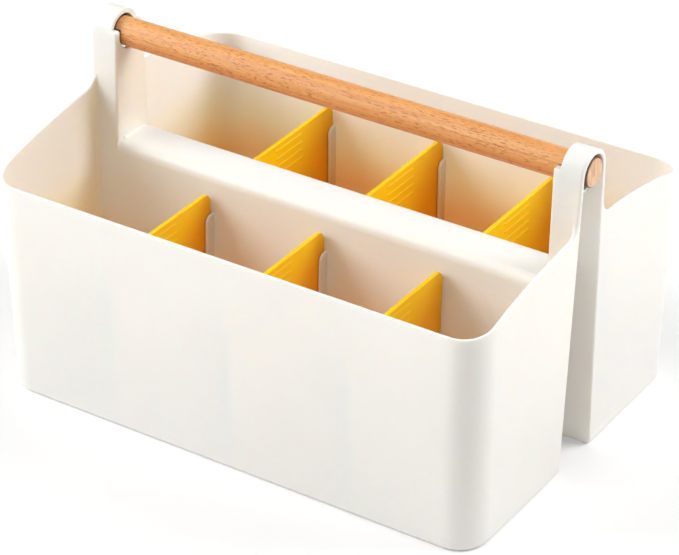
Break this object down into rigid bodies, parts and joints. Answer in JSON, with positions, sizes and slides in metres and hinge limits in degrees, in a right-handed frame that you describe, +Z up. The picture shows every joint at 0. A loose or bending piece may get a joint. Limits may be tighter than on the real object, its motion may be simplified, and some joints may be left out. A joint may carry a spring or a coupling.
{
  "type": "cleaning caddy",
  "caption": "Two-bin cleaning caddy with a wooden dowel handle between moulded ears and lift-out dividers that make compartments in each bin.",
  "frame": {"origin": "middle of the footprint, at the level the bins stand on", "axes": "+X along the handle, +Y across the bins from the front bin to the rear bin, +Z up"},
  "size_m": [0.3428, 0.244, 0.2098],
  "materials": {
    "tray": "warm white polypropylene, fine satin texture",
    "divider": "golden yellow polypropylene, satin",
    "dowel": "steamed beech, oiled",
    "screw": "zinc plated"
  },
  "bodies": {
    "caddy": {"tray": "tray", "handle_dowel": "dowel", "handle_screws": "screw"},
    "divider_front_left": {"divider_front_left": "divider"},
    "divider_front_middle": {"divider_front_middle": "divider"},
    "divider_front_right": {"divider_front_right": "divider"},
    "divider_rear_left": {"divider_rear_left": "divider"},
    "divider_rear_middle": {"divider_rear_middle": "divider"},
    "divider_rear_right": {"divider_rear_right": "divider"}
  },
  "joints": [
    {"name": "divider_front_left_lift", "type": "slide", "parent": "caddy", "child": "divider_front_left", "axis": [0, 0, 1], "range_m": [0, 0.22]},
    {"name": "divider_front_middle_lift", "type": "slide", "parent": "caddy", "child": "divider_front_middle", "axis": [0, 0, 1], "range_m": [0, 0.22]},
    {"name": "divider_front_right_lift", "type": "slide", "parent": "caddy", "child": "divider_front_right", "axis": [0, 0, 1], "range_m": [0, 0.22]},
    {"name": "divider_rear_left_lift", "type": "slide", "parent": "caddy", "child": "divider_rear_left", "axis": [0, 0, 1], "range_m": [0, 0.22]},
    {"name": "divider_rear_middle_lift", "type": "slide", "parent": "caddy", "child": "divider_rear_middle", "axis": [0, 0, 1], "range_m": [0, 0.22]},
    {"name": "divider_rear_right_lift", "type": "slide", "parent": "caddy", "child": "divider_rear_right", "axis": [0, 0, 1], "range_m": [0, 0.22]}
  ]
}
